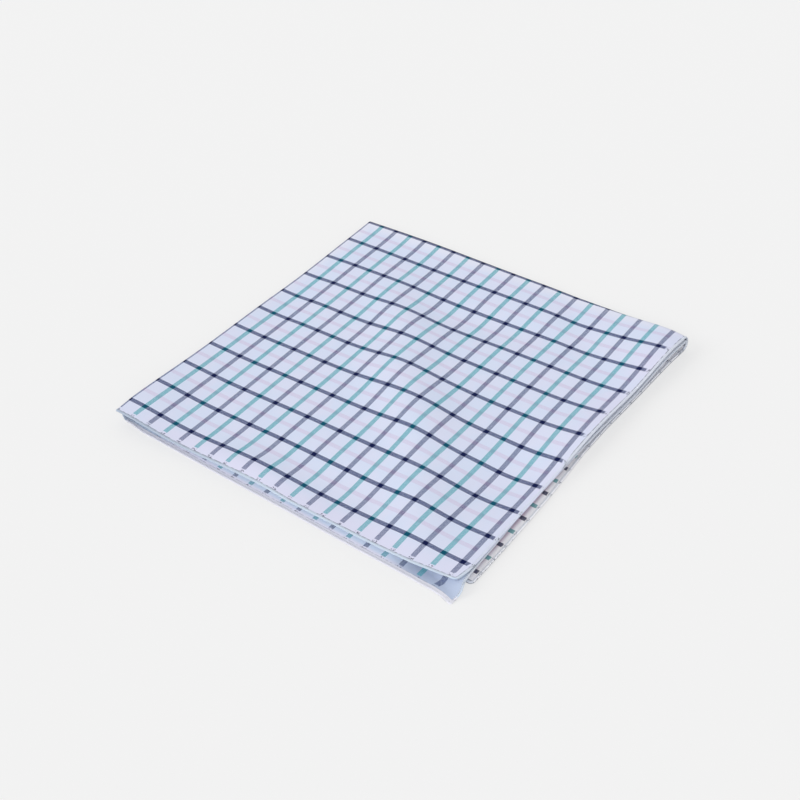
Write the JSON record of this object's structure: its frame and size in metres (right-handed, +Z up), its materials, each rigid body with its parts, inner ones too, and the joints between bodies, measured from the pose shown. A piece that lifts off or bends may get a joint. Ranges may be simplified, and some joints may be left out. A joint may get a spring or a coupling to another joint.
{
  "type": "folded bandana",
  "caption": "Square checked cotton bandana folded twice into a flat square stack of layers, with soft swells, two folded sides and two sides of open serged hems.",
  "frame": {"origin": "middle of the folded square's bounding box, on the table it lies on", "axes": "+X along the front hems from the left fold to the right hems, +Y from the front hems to the back fold, +Z up"},
  "size_m": [0.2784, 0.291, 0.0124],
  "materials": {
    "cotton": "matt plain weave, pale blue-white ground"
  },
  "bodies": {
    "root": {"cloth": "cotton"}
  },
  "joints": []
}
